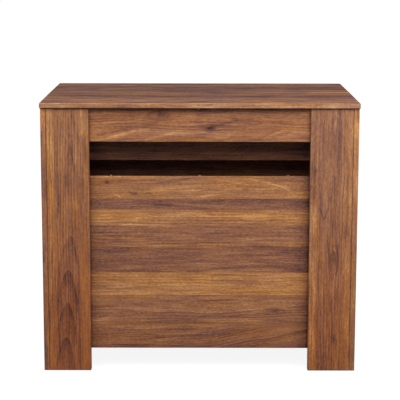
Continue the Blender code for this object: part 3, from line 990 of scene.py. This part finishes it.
def domedDisc(g):
    radius, height, dome = g.sizes["Radius"], g.sizes["Height"], g.sizes["Dome"]
    shoulder = radius * discShape["shoulder"]
    head = g.node("GeometryNodeMeshCone", {}, {
        "Vertices": discShape["sides"],
        "Fill Segments": discShape["rings"],
        "Radius Top": shoulder,
        "Radius Bottom": radius,
        "Depth": height,
    })
    x, y, z = g.position()
    outwards = (x * x + y * y) / (shoulder * shoulder)
    up = g.maths("GREATER_THAN", z, height * 0.5)
    return g.move(head, x, y, z + g.maths("MAXIMUM", 1.0 - outwards, 0.0) * dome * up)


def padRecipe(sizes):
    # a soft round stop, stuck on
    g = Recipe("round_pad", sizes)
    g.repeat(domedDisc(g))
    return g


def screwRecipe(sizes):
    # a low domed head with a crossed recess
    g = Recipe("screw_head", sizes)
    radius, height, dome = g.sizes["Radius"], g.sizes["Height"], g.sizes["Dome"]
    head = domedDisc(g)
    arm, thick = radius * crossShape["arm"], radius * crossShape["thick"]
    deep = g.sizes["Recess"] * 2.0
    cross = g.join("UNION", {1: [g.box(arm, thick, deep), g.box(thick, arm, deep)]})
    crossX, crossY, crossZ = g.position()
    cross = g.move(cross, crossX, crossY, crossZ + height + dome)
    g.repeat(g.join("DIFFERENCE", {0: head, 1: [cross]}), crossShape["turnSeed"])
    return g


def dowelRecipe(sizes):
    # a fluted peg with chamfered ends, from its point along its direction
    g = Recipe("fluted_dowel", sizes)
    radius, length, chamfer = g.sizes["Radius"], g.sizes["Length"], g.sizes["Chamfer"]
    peg = g.node("GeometryNodeMeshCylinder", {}, {
        "Vertices": dowelShape["sides"],
        "Side Segments": dowelShape["rings"],
        "Radius": radius,
        "Depth": length,
    })
    x, y, z = g.position()
    level = z / length      # -0.5 to 0.5, in quarters
    end = g.maths("GREATER_THAN", abs(level), dowelShape["endFrom"])
    ring = g.maths("GREATER_THAN", abs(level), dowelShape["ringFrom"])      # all but the ring halfway
    side = g.maths("SIGN", level)
    tall = side * ring * (length * 0.5 - chamfer * (1.0 - end))
    flute = g.maths("COSINE", g.maths("ARCTAN2", y, x) * g.sizes["Flutes"]) * 0.5 + 0.5
    narrow = (1.0 - end * chamfer / radius) * (1.0 - flute * g.sizes["Depth"])
    g.repeat(g.move(peg, x * narrow, y * narrow, tall + length * 0.5))
    return g


screwSizes = {"Radius": 0.0035, "Height": 0.0009, "Dome": 0.0006, "Recess": 0.0011}
screwPlaces = {
    "bracketSpread": 0.011,      # half the distance between the two screws of a flange
    "bracketInset": 0.011,       # from the bracket's corner
    "bracketThickness": 0.002,
    "barSpread": 0.007,
    "barInset": 0.0053,          # from the bar's end
    "runnerAtRear": (-0.15, 0.15),
    "runnerAtFront": (-0.22, -0.15),
}
padSizes = {"Radius": 0.0030, "Height": 0.0014, "Dome": 0.0006}
padPlace = {"across": -0.0042, "inset": 0.0035}      # under the front edge of the top
leafDowel = {"Radius": 0.0039, "Length": 0.018, "Chamfer": 0.0009, "Flutes": 20.0, "Depth": 0.05}
leafDowelPlaces = {"across": (-0.252, 0.0, 0.252), "insert": 0.010}


def bracketScrews(unit):
    places = []
    inset, thickness = screwPlaces["bracketInset"], screwPlaces["bracketThickness"]
    for side, hand in (("left", -1), ("right", 1)):
        low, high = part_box(f"{unit}_bracket_{side}")
        middle = (low.y + high.y) / 2
        wall = high.x if hand > 0 else low.x
        for spread in (-screwPlaces["bracketSpread"], screwPlaces["bracketSpread"]):
            places.append(((wall - hand * inset, middle + spread, high.z - thickness), (0, 0, -1)))
            places.append(((wall - hand * thickness, middle + spread, high.z - inset), (-hand, 0, 0)))
    return places


def runnerScrews(unit, alongs):
    places = []
    for side in ("left", "right"):
        low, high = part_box(f"{unit}_runner_{side}")
        middle = (low.x + high.x) / 2
        places += [((middle, along, low.z), (0, 0, -1)) for along in alongs]
    return places


def barScrews(stage):
    low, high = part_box(f"stage_{stage}_cross_bar")
    middle = (low.y + high.y) / 2
    places = []
    for x in (low.x + screwPlaces["barInset"], high.x - screwPlaces["barInset"]):
        for spread in (-screwPlaces["barSpread"], screwPlaces["barSpread"]):
            places.append(((x, middle + spread, low.z), (0, 0, -1)))
    return places


screws = screwRecipe(screwSizes)
screwJobs = {
    "rear_unit": bracketScrews("rear") + runnerScrews("rear", screwPlaces["runnerAtRear"]),
    "front_unit": bracketScrews("front") + runnerScrews("front", screwPlaces["runnerAtFront"]),
}
for stage in stageNumbers:
    screwJobs[f"runner_stage_{stage}"] = barScrews(stage)
for body, places in screwJobs.items():
    heads = screws.make(body + "_screws", places, screwSizes, zinc)
    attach(heads, body)
dowels = dowelRecipe(leafDowel)
for number in leafNumbers:
    low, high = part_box(f"leaf_{number}")
    middle = (low.y + high.y) / 2
    bottom = high.z - leafDowelPlaces["insert"]
    places = [((x, middle, bottom), (0, 0, 1)) for x in leafDowelPlaces["across"]]
    pegs = dowels.make(f"leaf_{number}_dowels", places, leafDowel, beechLeaf)
    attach(pegs, f"stored_leaf_{number}")
low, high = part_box("front_top")
padPoint = (padPlace["across"], low.y + padPlace["inset"], low.z)
pad = padRecipe(padSizes).make("top_edge_pad", [(padPoint, (0, 0, -1))], padSizes, palePlastic)
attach(pad, "front_unit")
print("screws, leaf dowels and pad placed")


cameraSetting = {
    "place": (0.0006, -3.9732, 1.2080),
    "yaw": 0.00005,       # radians: towards +X, down and clockwise
    "pitch": 0.16389,
    "roll": 0.00168,
    "lens": 119.753,
    "sensor": 36.0,
    "shiftUp": -0.08,
}


def addCamera(view):
    ahead = Vector((
        math.sin(view["yaw"]) * math.cos(view["pitch"]),
        math.cos(view["yaw"]) * math.cos(view["pitch"]),
        -math.sin(view["pitch"]),
    ))
    right = Vector((math.cos(view["yaw"]), -math.sin(view["yaw"]), 0))
    up = right.cross(ahead)
    turnedRight = right * math.cos(view["roll"]) + up * math.sin(view["roll"])
    turnedUp = up * math.cos(view["roll"]) - right * math.sin(view["roll"])
    data = bpy.data.cameras.new("photo_camera")
    data.sensor_width = view["sensor"]
    data.lens = view["lens"]
    data.shift_y = view["shiftUp"]
    camera = bpy.data.objects.new("photo_camera", data)
    turn = Matrix((turnedRight, turnedUp, -ahead)).transposed()
    camera.matrix_world = Matrix.Translation(view["place"]) @ turn.to_4x4()
    bpy.context.scene.collection.objects.link(camera)
    bpy.context.scene.camera = camera


studio = {
    "lamps": {
        "key_right": {"place": (1.2, -1.25, 1.7), "aim": (0.0, -0.2, 1.1), "size": 1.0, "power": 28.0},
        "key_left": {"place": (-1.2, -1.25, 1.7), "aim": (0.0, -0.2, 1.1), "size": 1.0, "power": 21.7},
        "front": {"place": (0.0, -1.6, 1.6), "aim": (0.0, -0.2, 0.8), "size": 1.8, "power": 3.9},
        "far_front": {"place": (0.0, -4.2, 2.45), "aim": (0.0, -1.0, 0.5), "size": 1.5, "power": 21.0},
        "fill_left": {"place": (-2.2, 1.6, 0.9), "aim": (0.0, 0.0, 0.4), "size": 1.6, "power": 36.0},
        "fill_right": {"place": (2.2, 1.6, 0.9), "aim": (0.0, 0.0, 0.4), "size": 1.6, "power": 36.0},
    },
    "ambient": 0.08,
    "floorSize": 60.0,
    "floorColour": 0.30,      # what the object gets back from the floor
    "floorGlow": 0.90,        # what the camera sees of it, before the light that falls on it
    "floorFarGlow": 1.0,
    "floorFar": (0.7, 2.5),   # from where to where the glow grows
    "floorShade": 0.25,
}


def addLamp(name, lamp):
    data = bpy.data.lights.new(name, "AREA")
    data.size = lamp["size"]
    data.energy = lamp["power"]
    light = bpy.data.objects.new(name, data)
    light.location = lamp["place"]
    light.rotation_mode = "QUATERNION"
    light.rotation_quaternion = (Vector(lamp["aim"]) - Vector(lamp["place"])).to_track_quat("-Z", "Y")
    light.visible_camera = False
    bpy.context.scene.collection.objects.link(light)


def seenDirectly(graph):
    # 1 for rays from the camera, from mirrors and through glass
    rays = ("Is Camera Ray", "Is Glossy Ray", "Is Transmission Ray")
    path = graph.node("ShaderNodeLightPath").socket.node
    camera, mirror, glass = (Wire(graph, path.outputs[ray]) for ray in rays)
    return graph.maths("MAXIMUM", graph.maths("MAXIMUM", camera, mirror), glass)


def addWorld(settings):
    world = bpy.data.worlds.new("studio")
    bpy.context.scene.world = world
    world.use_nodes = True
    graph = Graph(world.node_tree)
    background = world.node_tree.nodes["Background"]
    background.inputs["Color"].default_value = (1, 1, 1, 1)
    ambient = settings["ambient"]
    graph.plug(ambient + seenDirectly(graph) * (1.0 - ambient), background.inputs["Strength"])


def addFloor(settings):
    half = settings["floorSize"] / 2
    mesh = bpy.data.meshes.new("floor")
    corners = [(-half, -half, 0), (half, -half, 0), (half, half, 0), (-half, half, 0)]
    mesh.from_pydata(corners, [], [(0, 1, 2, 3)])
    floor = bpy.data.objects.new("floor", mesh)
    bpy.context.scene.collection.objects.link(floor)
    material = bpy.data.materials.new("pale_floor")
    material.use_nodes = True
    material.node_tree.nodes.clear()
    graph = Graph(material.node_tree)
    bounce = graph.node("ShaderNodeBsdfDiffuse", {}, {"Color": grey(settings["floorColour"])})
    x, y, _ = graph.split(graph.node("ShaderNodeTexCoord", output="Object"))
    away = graph.rise(graph.maths("SQRT", x * x + y * y), *settings["floorFar"])
    level = graph.mix(away, grey(settings["floorGlow"]), grey(settings["floorFarGlow"]))
    glow = graph.node("ShaderNodeEmission", {}, {"Color": level})
    shadow = graph.node("ShaderNodeBsdfDiffuse", {}, {"Color": grey(settings["floorShade"])})
    white = graph.node("ShaderNodeAddShader", {}, {0: glow, 1: shadow})
    seen = graph.node("ShaderNodeMixShader", {}, {0: seenDirectly(graph), 1: bounce, 2: white})
    result = material.node_tree.nodes.new("ShaderNodeOutputMaterial")
    graph.plug(seen, result.inputs["Surface"])
    mesh.materials.append(material)


addCamera(cameraSetting)
for lampName, lamp in studio["lamps"].items():
    addLamp(lampName, lamp)
addWorld(studio)
addFloor(studio)
bpy.context.scene.view_settings.view_transform = "Standard"
print("studio ready")
